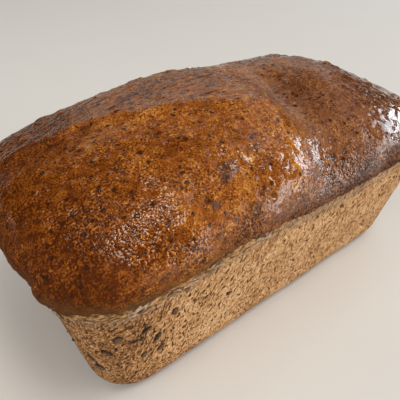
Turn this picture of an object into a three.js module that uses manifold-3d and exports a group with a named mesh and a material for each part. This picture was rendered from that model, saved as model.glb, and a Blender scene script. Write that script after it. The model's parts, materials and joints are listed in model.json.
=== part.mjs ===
// A tin-baked multigrain sourdough loaf, in millimetres, +Z up, resting on its base.
// The sides lean out from a rounded base to the rim line, where the tin ended. Above the rim line the crust
// swells out in a lip and closes in a broad dome with a main hump, a smaller hump and a hollow between them.
// Whole grains push up under the crust.
import * as THREE from "three";
import { ImprovedNoise } from "three/addons/math/ImprovedNoise.js";
import { MeshSurfaceSampler } from "three/addons/math/MeshSurfaceSampler.js";
import { mergeVertices } from "three/addons/utils/BufferGeometryUtils.js";
import Module from "manifold-3d";

// Driving dimensions
const RIM_LENGTH = 232;
const RIM_WIDTH = 127;
const RIM_HEIGHT = 71;
const LOAF_HEIGHT = 112;
const SIDE_LEAN = THREE.MathUtils.degToRad(7.5);
const CORNER_RADIUS = 21;
const BASE_ROUND = 7;

// How far the crust swells out over the rim line, and how high above it the dome springs from
const SIDE_OVERHANG = 2;
const NEAR_END_OVERHANG = 7.3;
const FAR_END_OVERHANG = 7;
const SHOULDER_RISE = 6;
const LEAST_LIP = 2.5;

// How full the dome is: its profile up over the sides and over the ends, the oval that its upper part
// follows, how soon it turns to that oval, and how much higher it is towards the near end
const PROFILE_SIDES = 2.3;
const PROFILE_ENDS = 2.35;
const PROFILE_UP = 2.15;
const CROWN_OVAL = 2.1;
const OVAL_TURN = 2.6;
const DOME_TILT = 0.09;

// Broad rises and hollows in the dome: place, reach along and across the loaf, and height
const SWELLS = [
  { x: 21, y: -12, along: 15, across: 34, rise: -5 },
  { x: 66, y: 8, along: 26, across: 36, rise: 2.3 },
  { x: -95, y: 42, along: 34, across: 34, rise: -7 },
];

// Where the rim line runs higher or lower round the loaf: place, reach and height
const RIM_RISES = [
  { x: -110, y: -60, reach: 17, rise: 6 },
  { x: -38, y: -64, reach: 26, rise: 5 },
  { x: 112, y: 58, reach: 20, rise: 4 },
  { x: 30, y: 64, reach: 34, rise: 4 },
  { x: -112, y: 58, reach: 34, rise: -6 },
  { x: 116, y: 8, reach: 34, rise: -2 },
];

// Unevenness of the crust and of the sides: size across and height
const CRUST_LUMPS = { across: 20, height: 1.2 };
const CRUST_PUCKERS = { across: 12, height: 0.5 };
const SIDE_LUMPS = { across: 24, height: 0.5 };

// Whole grains: how many, their length, width and thickness, and the share of the thickness that is sunk
const GRAIN_COUNT = 84;
const GRAIN_TRIES = 14;
const GRAIN_LENGTH = [4.6, 7.2];
const GRAIN_WIDTH = [2.8, 3.8];
const GRAIN_THICKNESS = [2.0, 2.8];
const GRAIN_SUNK = 0.64;
const GRAIN_SEED = 41;
const GRAIN_FACES = [6, 4];

// Facets
const LONG_STEPS = 32;
const SHORT_STEPS = 16;
const CORNER_STEPS = 6;
const ROUND_RINGS = 3;
const WALL_RINGS = 6;
const SHOULDER_RINGS = 4;
const DOME_RINGS = 17;
const DOME_ARC_SHARE = 0.85;

const { degToRad, lerp, smoothstep, seededRandom } = THREE.MathUtils;
const noise = new ImprovedNoise();

// Stations run once round the loaf: a place on the straight sides, or a direction on a corner's arc.
function stationsRoundLoaf() {
  const stations = [];
  const sides = [
    { from: [-1, -1], to: [1, -1], turn: -90, steps: LONG_STEPS },
    { from: [1, -1], to: [1, 1], turn: 0, steps: SHORT_STEPS },
    { from: [1, 1], to: [-1, 1], turn: 90, steps: LONG_STEPS },
    { from: [-1, 1], to: [-1, -1], turn: 180, steps: SHORT_STEPS },
  ];
  for (const { from, to, turn, steps } of sides) {
    for (let i = 0; i < steps; i += 1) {
      const t = i / steps;
      stations.push({ sx: lerp(from[0], to[0], t), sy: lerp(from[1], to[1], t), angle: degToRad(turn) });
    }
    for (let i = 0; i < CORNER_STEPS; i += 1) {
      stations.push({ sx: to[0], sy: to[1], angle: degToRad(turn + (90 * i) / CORNER_STEPS) });
    }
  }
  return stations;
}

// The rounded rectangle of the sides, set in from its size at the rim line, at one station.
function sideOutline({ sx, sy, angle }, inset, radius) {
  return new THREE.Vector2(
    sx * (RIM_LENGTH / 2 - inset - radius) + Math.cos(angle) * radius,
    sy * (RIM_WIDTH / 2 - inset - radius) + Math.sin(angle) * radius,
  );
}

function wallOutline(station, z) {
  return sideOutline(station, (RIM_HEIGHT - z) * Math.tan(SIDE_LEAN), CORNER_RADIUS);
}

function endOverhang(x) {
  return x < 0 ? NEAR_END_OVERHANG : FAR_END_OVERHANG;
}

// The outermost line of the crust: it stands out most in the middle of each end, least along the sides.
function shoulderOutline(station) {
  const towardsEnd = Math.abs(Math.cos(station.angle)) * (1 - station.sy ** 2);
  const out = lerp(SIDE_OVERHANG, endOverhang(station.sx), towardsEnd);
  const outwards = new THREE.Vector2(Math.cos(station.angle), Math.sin(station.angle));
  return sideOutline(station, 0, CORNER_RADIUS).addScaledVector(outwards, out);
}

// A shoulder point as shares of the dome's half length and half width.
function domeShares(shoulder) {
  const along = Math.abs(shoulder.x / (RIM_LENGTH / 2 + endOverhang(shoulder.x)));
  const across = Math.abs(shoulder.y / (RIM_WIDTH / 2 + SIDE_OVERHANG));
  return { along, across };
}

// The point on the crown's oval that lies in the same direction as a shoulder point.
function crownOutline(shoulder) {
  const { along, across } = domeShares(shoulder);
  const reach = (along ** CROWN_OVAL + across ** CROWN_OVAL) ** (1 / CROWN_OVAL);
  return shoulder.clone().divideScalar(reach);
}

function sumOfRises(list, x, y) {
  let sum = 0;
  for (const { x: midX, y: midY, reach, along = reach, across = reach, rise } of list) {
    sum += rise * Math.exp(-(((x - midX) / along) ** 2) - ((y - midY) / across) ** 2);
  }
  return sum;
}

function rimLine(station) {
  const rim = sideOutline(station, 0, CORNER_RADIUS);
  return RIM_HEIGHT + sumOfRises(RIM_RISES, rim.x, rim.y);
}

function springLine(station) {
  const rim = rimLine(station);
  return Math.max(Math.min(RIM_HEIGHT, rim) + SHOULDER_RISE, rim + LEAST_LIP);
}

// A point of the dome at one station: share is 0 on the spring line and 1 at the crown. Most of it turns like an
// arc and the rest goes straight in, which keeps the facets even.
function domePoint(station, share) {
  const shoulder = shoulderOutline(station);
  const { along, across } = domeShares(shoulder);
  const endShare = along ** 2 / (along ** 2 + across ** 2);
  const out = lerp(1 - share, Math.cos((share * Math.PI) / 2), DOME_ARC_SHARE);
  const up = (1 - out ** lerp(PROFILE_SIDES, PROFILE_ENDS, endShare)) ** (1 / PROFILE_UP);
  const p = crownOutline(shoulder).lerp(shoulder, out ** OVAL_TURN).multiplyScalar(share < 1 ? out : 0);
  const spring = springLine(station);
  const tilt = 1 - (DOME_TILT * p.x) / (RIM_LENGTH / 2);
  const z = spring + ((LOAF_HEIGHT - spring) * tilt + sumOfRises(SWELLS, p.x, p.y)) * up;
  return new THREE.Vector3(p.x, p.y, z);
}

// Rings from the middle of the base, out and up the sides, over the lip and in to the crown.
function loafRings() {
  const rings = [() => new THREE.Vector3(0, 0, 0)];
  const atHeight = (p, z) => new THREE.Vector3(p.x, p.y, z);
  for (let i = 0; i <= ROUND_RINGS; i += 1) {
    const turn = ((i / ROUND_RINGS) * Math.PI) / 2;
    const z = BASE_ROUND * (1 - Math.cos(turn));
    const inset = BASE_ROUND * (1 - Math.sin(turn));
    rings.push((station) => {
      const lean = (RIM_HEIGHT - z) * Math.tan(SIDE_LEAN);
      return atHeight(sideOutline(station, lean + inset, CORNER_RADIUS - inset), z);
    });
  }
  for (let i = 1; i <= WALL_RINGS; i += 1) {
    rings.push((station) => {
      const z = lerp(BASE_ROUND, rimLine(station), i / WALL_RINGS);
      return atHeight(wallOutline(station, z), z);
    });
  }
  for (let i = 1; i <= SHOULDER_RINGS; i += 1) {
    const turn = ((i / SHOULDER_RINGS) * Math.PI) / 2;
    rings.push((station) => {
      const rim = rimLine(station);
      const p = wallOutline(station, rim).lerp(shoulderOutline(station), Math.sin(turn));
      return atHeight(p, lerp(springLine(station), rim, Math.cos(turn)));
    });
  }
  for (let i = 1; i <= DOME_RINGS; i += 1) {
    rings.push((station) => domePoint(station, i / DOME_RINGS));
  }
  return rings;
}

function lumps({ across, height }, p) {
  return height * noise.noise(p.x / across, p.y / across, p.z / across);
}

// The smooth skin, made uneven along its normals. The base stays flat.
function loafSkin() {
  const stations = stationsRoundLoaf();
  const rings = loafRings();
  const positions = rings.flatMap((ring) => stations.flatMap((station) => ring(station).toArray()));
  const index = [];
  const n = stations.length;
  for (let r = 0; r + 1 < rings.length; r += 1) {
    for (let s = 0; s < n; s += 1) {
      const next = (s + 1) % n;
      const [a, b, c, d] = [r * n + s, r * n + next, (r + 1) * n + next, (r + 1) * n + s];
      if (r > 0) index.push(a, b, c);
      if (r + 2 < rings.length) index.push(a, c, d);
    }
  }
  const smooth = new THREE.BufferGeometry();
  smooth.setAttribute("position", new THREE.Float32BufferAttribute(positions, 3));
  smooth.setIndex(index);
  const skin = mergeVertices(smooth);
  skin.computeVertexNormals();
  const { position, normal } = skin.attributes;
  const p = new THREE.Vector3();
  const out = new THREE.Vector3();
  for (let i = 0; i < position.count; i += 1) {
    p.fromBufferAttribute(position, i);
    out.fromBufferAttribute(normal, i);
    const onCrust = smoothstep(p.z, RIM_HEIGHT, RIM_HEIGHT + SHOULDER_RISE);
    const offBase = smoothstep(p.z, 0, BASE_ROUND);
    const crust = lumps(CRUST_LUMPS, p) + lumps(CRUST_PUCKERS, p);
    p.addScaledVector(out, lerp(lumps(SIDE_LUMPS, p), crust, onCrust) * offBase);
    position.setXYZ(i, p.x, p.y, p.z);
  }
  return skin;
}

// Places for the grains: of several seeded draws on the dome, the one furthest from the places already taken.
function grainPlaces(skin) {
  const weights = [];
  for (let i = 0; i < skin.attributes.position.count; i += 1) {
    weights.push(skin.attributes.position.getZ(i) > RIM_HEIGHT + SHOULDER_RISE ? 1 : 0);
  }
  skin.setAttribute("grains", new THREE.Float32BufferAttribute(weights, 1));
  seededRandom(GRAIN_SEED);
  const sampler = new MeshSurfaceSampler(new THREE.Mesh(skin));
  sampler.setWeightAttribute("grains").setRandomGenerator(() => seededRandom()).build();
  const places = [];
  while (places.length < GRAIN_COUNT) {
    let best = null;
    for (let t = 0; t < GRAIN_TRIES; t += 1) {
      const point = new THREE.Vector3();
      const normal = new THREE.Vector3();
      sampler.sample(point, normal);
      const room = Math.min(RIM_LENGTH, ...places.map((taken) => taken.point.distanceTo(point)));
      if (!best || room > best.room) best = { point, normal: normal.normalize(), room };
    }
    places.push(best);
  }
  return places;
}

function drawBetween([least, most]) {
  return lerp(least, most, seededRandom());
}

// A grain lies flat on the skin, turned at random, and is sunk by most of its thickness.
function grainGeometry({ point, normal }) {
  const thickness = drawBetween(GRAIN_THICKNESS);
  const size = new THREE.Vector3(drawBetween(GRAIN_LENGTH), drawBetween(GRAIN_WIDTH), thickness);
  const heading = new THREE.Quaternion().setFromAxisAngle(new THREE.Vector3(0, 0, 1), seededRandom() * Math.PI);
  const upright = new THREE.Quaternion().setFromUnitVectors(new THREE.Vector3(0, 0, 1), normal);
  const centre = point.clone().addScaledVector(normal, thickness * (0.5 - GRAIN_SUNK));
  const grain = new THREE.SphereGeometry(0.5, ...GRAIN_FACES);
  grain.applyMatrix4(new THREE.Matrix4().compose(centre, upright.multiply(heading), size));
  return grain;
}

// Joined solids: every grain is fused to the loaf, so that the loaf is one piece.
const wasm = await Module();
wasm.setup();

function solidFrom(geometry) {
  const bare = geometry.clone();
  for (const name of Object.keys(bare.attributes)) {
    if (name !== "position") bare.deleteAttribute(name);
  }
  const merged = mergeVertices(bare);
  const vertProperties = new Float32Array(merged.attributes.position.array);
  const triVerts = new Uint32Array(merged.index.array);
  return new wasm.Manifold(new wasm.Mesh({ numProp: 3, vertProperties, triVerts }));
}

function geometryFrom(solid) {
  const { vertProperties, triVerts } = solid.getMesh();
  const geometry = new THREE.BufferGeometry();
  geometry.setAttribute("position", new THREE.BufferAttribute(vertProperties, 3));
  geometry.setIndex(new THREE.BufferAttribute(triVerts, 1));
  return geometry;
}

function loafGeometry() {
  const skin = loafSkin();
  let solid = solidFrom(skin);
  for (const place of grainPlaces(skin)) {
    solid = solid.add(solidFrom(grainGeometry(place)));
  }
  const geometry = geometryFrom(solid);
  geometry.computeBoundingBox();
  const middle = geometry.boundingBox.getCenter(new THREE.Vector3());
  geometry.translate(-middle.x, -middle.y, 0);
  geometry.computeVertexNormals();
  return geometry;
}

const crust = new THREE.MeshStandardMaterial({ color: 0x8a4b1c, roughness: 0.35, metalness: 0 });
const body = new THREE.Mesh(loafGeometry(), crust);
body.name = "loaf";

const loaf = new THREE.Group();
loaf.add(body);

export default loaf;
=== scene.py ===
"""Dresses the solid of a multigrain tin loaf: blistered crust, porous sides, grains and torn flakes."""

import json
import math
from collections import namedtuple
from functools import cached_property
from types import SimpleNamespace

import bmesh
import bpy
import numpy as np
from bpy.props import FloatProperty, FloatVectorProperty, IntProperty, PointerProperty
from mathutils import Matrix, Vector
from mathutils.bvhtree import BVHTree
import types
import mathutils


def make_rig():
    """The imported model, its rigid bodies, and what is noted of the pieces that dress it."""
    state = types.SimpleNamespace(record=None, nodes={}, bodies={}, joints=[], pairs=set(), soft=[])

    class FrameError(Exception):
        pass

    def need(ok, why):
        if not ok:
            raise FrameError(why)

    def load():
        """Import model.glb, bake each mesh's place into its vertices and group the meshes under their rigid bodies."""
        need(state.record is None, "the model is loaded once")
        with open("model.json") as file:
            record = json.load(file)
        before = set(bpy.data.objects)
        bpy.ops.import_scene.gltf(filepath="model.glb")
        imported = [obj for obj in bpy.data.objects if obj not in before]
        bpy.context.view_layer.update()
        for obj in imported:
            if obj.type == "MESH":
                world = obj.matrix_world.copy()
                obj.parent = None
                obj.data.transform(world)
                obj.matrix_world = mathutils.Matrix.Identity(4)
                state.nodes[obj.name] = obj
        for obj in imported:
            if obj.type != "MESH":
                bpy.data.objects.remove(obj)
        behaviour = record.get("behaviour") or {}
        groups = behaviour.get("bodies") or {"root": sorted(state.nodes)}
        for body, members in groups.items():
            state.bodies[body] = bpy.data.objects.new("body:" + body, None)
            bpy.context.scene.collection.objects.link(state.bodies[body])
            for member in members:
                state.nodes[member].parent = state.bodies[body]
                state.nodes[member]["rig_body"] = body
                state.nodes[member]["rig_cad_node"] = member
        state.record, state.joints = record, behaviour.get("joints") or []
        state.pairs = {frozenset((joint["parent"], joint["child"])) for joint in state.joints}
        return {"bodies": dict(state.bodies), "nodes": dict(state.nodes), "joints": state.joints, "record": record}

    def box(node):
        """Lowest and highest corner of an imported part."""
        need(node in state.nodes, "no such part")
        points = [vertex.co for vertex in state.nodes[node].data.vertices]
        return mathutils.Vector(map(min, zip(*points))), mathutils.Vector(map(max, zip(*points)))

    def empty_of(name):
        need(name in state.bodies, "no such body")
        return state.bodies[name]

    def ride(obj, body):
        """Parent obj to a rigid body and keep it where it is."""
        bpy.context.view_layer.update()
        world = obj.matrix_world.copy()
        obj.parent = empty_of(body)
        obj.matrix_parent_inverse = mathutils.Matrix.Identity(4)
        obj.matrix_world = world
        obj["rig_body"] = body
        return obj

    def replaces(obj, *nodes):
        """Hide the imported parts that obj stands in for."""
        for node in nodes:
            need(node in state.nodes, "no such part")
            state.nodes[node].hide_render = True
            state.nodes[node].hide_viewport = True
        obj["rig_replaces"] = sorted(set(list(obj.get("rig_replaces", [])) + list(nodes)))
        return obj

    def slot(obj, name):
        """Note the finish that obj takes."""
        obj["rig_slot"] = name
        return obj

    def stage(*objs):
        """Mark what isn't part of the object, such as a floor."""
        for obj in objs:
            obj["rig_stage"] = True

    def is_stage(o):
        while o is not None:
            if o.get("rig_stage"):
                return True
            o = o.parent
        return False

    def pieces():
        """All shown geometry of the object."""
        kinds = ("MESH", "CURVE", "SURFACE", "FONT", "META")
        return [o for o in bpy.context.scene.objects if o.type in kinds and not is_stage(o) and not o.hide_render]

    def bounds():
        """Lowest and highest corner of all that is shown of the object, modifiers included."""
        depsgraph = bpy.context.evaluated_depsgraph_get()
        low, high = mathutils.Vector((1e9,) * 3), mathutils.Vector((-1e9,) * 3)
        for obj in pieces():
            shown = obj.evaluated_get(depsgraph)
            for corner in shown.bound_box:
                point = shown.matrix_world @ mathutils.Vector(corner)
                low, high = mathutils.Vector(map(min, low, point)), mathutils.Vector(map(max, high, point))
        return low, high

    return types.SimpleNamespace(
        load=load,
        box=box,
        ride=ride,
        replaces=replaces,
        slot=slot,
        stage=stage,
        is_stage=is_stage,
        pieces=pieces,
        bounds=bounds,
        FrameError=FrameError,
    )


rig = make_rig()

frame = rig.load()
SOLID_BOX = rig.bounds()

bl_info = {
    "name": "Multigrain Tin Loaf",
    "version": (1, 0, 0),
    "blender": (4, 5, 0),
    "location": "View3D > Sidebar > Loaf",
    "description": "Builds the crust, sides, grains and flakes of a multigrain tin loaf over its solid",
    "category": "Add Mesh",
}

MM = 0.001
BODY = "root"
SOLID = "loaf"
BODY_PIECE = "loaf_body"
LOWEST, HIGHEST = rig.box(SOLID)
LOAF_LENGTH = HIGHEST.x - LOWEST.x
LOAF_WIDTH = HIGHEST.y - LOWEST.y
LOAF_HEIGHT = HIGHEST.z - LOWEST.z

# Attributes that the body's mesh carries for its finish
ABOVE_RIM = "above_rim"
GRAIN_LIFT = "grain_lift"

# Attributes of the grains: a placed grain's outward direction, its size, and its stance, which is whether it
# is placed, how far it stands out and its roll; and how high each point of a grain lies
FACING = "facing"
SPAN = "span"
STANCE = "stance"
KERNEL_TOP = "kernel_top"

# How the solid is remeshed: its new face size, and the passes that round off its facets
MESH_STEP = 2.42 * MM
SMOOTHING_PASSES = 12

# How the rim line is read from the solid's lip
RIM_STEPS = 120
LIP_FACES_DOWN = -0.35
LIP_ABOVE_SHARE = 0.45

# Where the main hump falls away to the hollow: a place along the loaf, and how it slants across the loaf
HOLLOW_START = 21 * MM
HOLLOW_SKEW = 0.36

# Where the fold that bounds the far slope crosses the loaf's middle, and how it slants along the loaf
FOLD_START = -24 * MM
FOLD_SKEW = -0.44

# How far below the crust's edge the groove under its lip lies
GROOVE_DROP = 0.6 * MM

# A place on the crust, how far it reaches, and by how much it rises or sinks
Spot = namedtuple("Spot", "at reach by")

# The share of a spot's reach within which its mask is whole, and the share that a sunk spot's colour fills
SPOT_CORE = 0.3
SUNK_COLOUR = 0.8


def spot(x, y, z, reach, by=0):
    """A spot whose place and sizes are given in millimetres."""
    return Spot(Vector((x, y, z)) * MM, reach * MM, by * MM)


# Where the crust is dull, and where it is glazed over broad blisters
DULL = (
    spot(40, -46, 101, reach=34),
    spot(-47, -60, 93, reach=24),
    spot(60, -66, 75, reach=17),
    spot(-75.5, 6, 105, reach=9),
    spot(-56, -46, 103, reach=17),
    spot(-99, -56, 88, reach=12),
)
GLAZED = (spot(74, -53, 95, reach=38),)

# Where the crust has painted shade in the dips between fine bubbles, and where its bubbles are steep
SPARKLING = (
    spot(-82, -51, 98, reach=20),
    spot(-99, -45, 96, reach=14),
)
BLISTERED = (
    spot(0, -64, 81, reach=22),
    spot(30, -64, 80, reach=22),
    spot(60, -62, 80, reach=16),
    spot(-42, -66, 82, reach=12),
    spot(-69, -65, 83, reach=10),
)

# Where rough dark scabs lie on the crust
SCABS = (
    spot(-44.7, -49.5, 101.7, reach=6),
    spot(-39.5, -48, 102.5, reach=4.5),
    spot(-37.1, -62.1, 90.1, reach=5),
    spot(-53.8, -56.8, 96, reach=3.5),
    spot(-23.5, -45.5, 104.9, reach=3.5),
    spot(17.7, -55.5, 89.7, reach=4),
    spot(21.9, -59.2, 87.3, reach=3),
)

# Where rough knobs of the crust's own colour stand
KNOBS = (
    spot(-71.6, -39.9, 103.6, reach=5),
    spot(-64.6, -43.7, 103.3, reach=5),
    spot(-90.2, -37.2, 100.9, reach=3.5),
    spot(-53.4, -13.9, 110.4, reach=5),
    spot(-25.7, 13.9, 112.7, reach=5),
)

# Where the crust is browner, and where painted shade darkens a hollow beside the flank
SHADED = (
    spot(-68, -29, 106, reach=27),
    spot(-22, -56, 97, reach=14),
)

# Nubs that stand out of the crust, and a notch and pits that go into it
NUBS = (
    spot(64, 30, 105.5, reach=6, by=1),
    spot(69, 15, 106.8, reach=6, by=0.7),
    spot(75, -2, 106.5, reach=4.5, by=1.6),
    spot(79, -6, 106, reach=4, by=1),
    spot(-9, 38, 108, reach=6, by=0.7),
    spot(-30, 42, 105.5, reach=6, by=0.8),
    spot(-80, 51, 94, reach=6, by=0.9),
    spot(-118, -41.6, 78, reach=6, by=1.5),
    spot(-40.1, -47.5, 102.9, reach=3.4, by=1.3),
    spot(-46.6, -48.6, 102.2, reach=2.6, by=1),
    spot(-44, -50.6, 101.4, reach=2.6, by=1.1),
    spot(-42.6, -51.4, 100.8, reach=2.4, by=0.8),
    spot(-55.4, -55.3, 96.3, reach=2.8, by=1.1),
)
NOTCH = (
    spot(-74.4, 7.5, 106, reach=6, by=2),
    spot(-77, 3, 105, reach=4.5, by=1),
)
PITS = (
    spot(-28.6, -61.4, 92.3, reach=3, by=1.8),
    spot(-33, -60, 93.5, reach=2.4, by=1.2),
    spot(-56, -54.7, 98, reach=2.6, by=1.2),
    spot(-112, -44, 84, reach=3, by=1.2),
)

# Where the smaller hump stands higher than the solid's
HUMP = spot(68, 2, 106, reach=46)

# A pale olive streak in the crust: its middle, its direction, half its length and half its width
STREAK_MIDDLE = Vector((-79, -8, 106)) * MM
STREAK_WAY = Vector((-0.34, -0.94, 0))
STREAK_HALF_LENGTH = 18 * MM
STREAK_HALF_WIDTH = 3 * MM

# The tone that each finish varies about, from 0 at its darkest to 1 at its palest
CRUST_TONE = 0.61
SIDE_TONE = 0.61
TORN_TONE = 0.5

# How far from upright the pores of the long sides lean towards the smaller hump
PORE_SLANT = math.radians(13)


# Properties

def length(name, about, millimetres):
    """A size, given in millimetres and kept in metres."""
    return FloatProperty(
        name=name, description=about, default=millimetres * MM, min=0, unit="LENGTH", subtype="DISTANCE"
    )


def colour(name, about, value):
    """A linear colour."""
    return FloatVectorProperty(
        name=name, description=about, default=value, size=3, min=0, max=1, subtype="COLOR"
    )


def power(name, about, value):
    """A lamp's power."""
    return FloatProperty(name=name, description=about, default=value, min=0, unit="POWER")


class CrustSettings(bpy.types.PropertyGroup):
    """The browned dome above the rim line."""

    lump_size: length("Crust lump size", "Width of the low swellings under the skin", 13)
    lump_height: length("Crust lump height", "Height of the low swellings", 0.6)
    blister_size: length("Blister size", "Width of the baked blisters", 3.6)
    blister_height: length("Blister height", "Height of the baked blisters", 0.32)
    pucker_size: length("Pucker size", "Width of the fine puckers between blisters", 2.2)
    pucker_height: length("Pucker height", "Height of the fine puckers", 0.13)
    wrinkle_size: length("Wrinkle size", "Spacing of the lengthwise wrinkles on the far slope", 4.0)
    wrinkle_height: length("Wrinkle height", "Height of the lengthwise wrinkles", 1.1)
    nodule_height: length("Nodule height", "Height of the small hard nodules under the skin", 0.6)
    scab_height: length("Scab height", "Height of the roughness on the dark scabs", 0.9)
    groove_depth: length("Groove depth", "Depth of the shadow line under the crust's lip", 1.3)
    hollow_depth: length("Hollow depth", "How much deeper the hollow is than the solid's", 4.4)
    fold_height: length("Fold height", "Height of the fold that bounds the far slope", 1.0)
    hump_height: length("Hump height", "How much higher the smaller hump is than the solid's", 1.2)
    amber: colour("Amber", "Lightest colour of the crust", (0.33, 0.100, 0.013))
    brown: colour("Brown", "Main colour of the crust", (0.19, 0.050, 0.006))
    # Umber is the crust's darkest tone; the left end reaches it mostly through painted shade
    umber: colour("Umber", "Colour of the crust's ends and lower edge", (0.080, 0.018, 0.003))
    speck: colour("Speck", "Colour of the burnt specks", (0.040, 0.014, 0.006))
    # Burnt darkens the crust's lower edge: partly its own browning, partly painted shade where the crust turns under
    burnt: colour("Burnt", "Colour of the crust's edge along the sides", (0.18, 0.076, 0.040))
    straw: colour("Straw", "Colour of the pale streak", (0.34, 0.15, 0.03))
    gold: colour("Gold", "Colour of the palest crust", (0.54, 0.24, 0.05))
    # Painted glints: pale specks that stand in for tiny highlights on the crust
    fleck: colour("Fleck", "Colour of the pale flecks", (0.62, 0.44, 0.26))
    # Dusk is a duller colour with painted grey-pink sheen, for the smaller hump, the far slope and the palest part of
    # the singed lower edge
    dusk: colour("Dusk", "Colour of the dull smaller hump and far slope", (0.25, 0.118, 0.062))
    soot: colour("Soot", "Colour of the scabs", (0.072, 0.040, 0.030))


class SideSettings(bpy.types.PropertyGroup):
    """The tin-baked sides below the rim line."""

    lump_size: length("Side lump size", "Width of the swellings of the side", 15)
    lump_height: length("Side lump height", "Height of the swellings of the side", 0.35)
    pore_size: length("Pore size", "Spacing of the open pores", 2.6)
    pore_depth: length("Pore depth", "Depth of the open pores", 0.7)
    tan: colour("Tan", "Main colour of the sides", (0.64, 0.345, 0.15))
    pale: colour("Pale", "Colour of the ridges between pores", (0.90, 0.61, 0.345))
    toast: colour("Toast", "Colour near the base and in patches", (0.37, 0.17, 0.058))
    # Pore is painted shade: the dark inside of the pores, of the torn band's cracks and of the line under the lip
    pore: colour("Pore", "Colour inside the pores", (0.12, 0.054, 0.025))
    olive: colour("Olive", "Colour of the torn band's hollows", (0.24, 0.135, 0.05))
    crumb: colour("Crumb", "Colour of the torn band's fibres", (0.66, 0.48, 0.30))
    scorched: colour("Scorched", "Colour of the crust's edge at the near corner", (0.13, 0.058, 0.018))
    # Painted shade on the sides just under the rim, also a greyer tint at the right end
    dust: colour("Dust", "Colour of the sides just under the rim", (0.35, 0.245, 0.175))


class GrainSettings(bpy.types.PropertyGroup):
    """The whole grains that show in the sides."""

    spacing: length("Spacing", "Least distance between scattered grains", 8)
    grain_length: length("Length", "Length of a scattered grain", 3.2)
    grain_width: length("Width", "Width of a scattered grain", 2.1)
    grain_thickness: length("Thickness", "Thickness of a grain", 1.6)
    proud: length("Proud", "How far a scattered grain stands out", 0.5)
    seed: IntProperty(name="Seed", description="Seed of the scatter", default=7)
    husk: colour("Husk", "Colour of a grain's edge", (0.034, 0.016, 0.008))
    worn: colour("Worn", "Colour of a grain's middle", (0.15, 0.080, 0.038))


class FlakeSettings(bpy.types.PropertyGroup):
    """The torn flakes along the crust's edge."""

    spacing: length("Spacing", "Least distance between flakes", 1.5)
    flake_length: length("Length", "Length of a flake", 4.6)
    flake_width: length("Width", "Width of a flake", 1.5)
    flake_thickness: length("Thickness", "Thickness of a flake", 0.35)
    curl: length("Curl", "How far a flake's middle stands off", 0.6)
    seed: IntProperty(name="Seed", description="Seed of the scatter", default=3)
    crumb: colour("Crumb", "Pale colour of a torn flake", (0.56, 0.41, 0.28))
    baked: colour("Baked", "Browned colour of a torn flake", (0.22, 0.11, 0.045))


class StageSettings(bpy.types.PropertyGroup):
    """The floor, the lights and the camera."""

    floor: colour("Floor", "Colour of the pale floor", (0.70, 0.70, 0.69))
    room: colour("Room", "Colour of the light from all round", (0.285, 0.277, 0.262))
    window: power("Window", "Power of the window light at the right", 29)
    overhead: power("Overhead", "Power of the soft light above", 30)
    front: power("Front", "Power of the low light on the near side", 26)
    back: power("Back", "Power of the low dim light behind", 11)
    upper: power("Upper", "Power of the dim light high at the right", 4)
    sky_left: power("Sky left", "Power of the small light above the left end", 4)
    near_fill: power("Near fill", "Power of the fill on the near side", 8)
    left_fill: power("Left fill", "Power of the fill at the left", 3.0)


# Node trees

def overloads(operation):
    """An operator of wires and its reflected form, which add a Math node."""

    def forward(wire, value):
        return wire.math(operation, wire, value)

    def reflected(wire, value):
        return wire.math(operation, value, wire)

    return forward, reflected


class Wire:
    """One output of a node, so that arithmetic in Python adds Math nodes to its tree."""

    __add__, __radd__ = overloads("ADD")
    __sub__, __rsub__ = overloads("SUBTRACT")
    __mul__, __rmul__ = overloads("MULTIPLY")
    __truediv__, __rtruediv__ = overloads("DIVIDE")

    def __init__(self, board, socket):
        self.board = board
        self.socket = socket

    def other(self, name):
        """Another output of the same node."""
        return Wire(self.board, next(s for s in self.socket.node.outputs if s.enabled and s.name == name))

    def math(self, operation, *values):
        """A Math node on those values."""
        return self.board.add("ShaderNodeMath", dict(enumerate(values)), operation=operation)

    def ease(self, start, end):
        """0 below start, 1 above end, smooth between; start may be above end."""
        if start > end:
            return 1 - self.ease(end, start)
        inputs = {"Value": self, "From Min": start, "From Max": end}
        return self.board.add("ShaderNodeMapRange", inputs, interpolation_type="SMOOTHSTEP")

    def ease_mm(self, start, end):
        """The same between limits in millimetres."""
        return self.ease(start * MM, end * MM)

    def __abs__(self):
        return self.math("ABSOLUTE", self)

    def __iter__(self):
        """This wire alone, as Joined gives several."""
        return iter((self,))


class Joined(tuple):
    """Several wires that go into one socket."""


def set_stops(ramp, stops):
    """Gives a colour ramp its stops."""
    while len(ramp.elements) < len(stops):
        ramp.elements.new(1.0)
    for element, (position, shade) in zip(ramp.elements, stops):
        element.position = position
        element.color = (*shade, 1.0)


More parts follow.
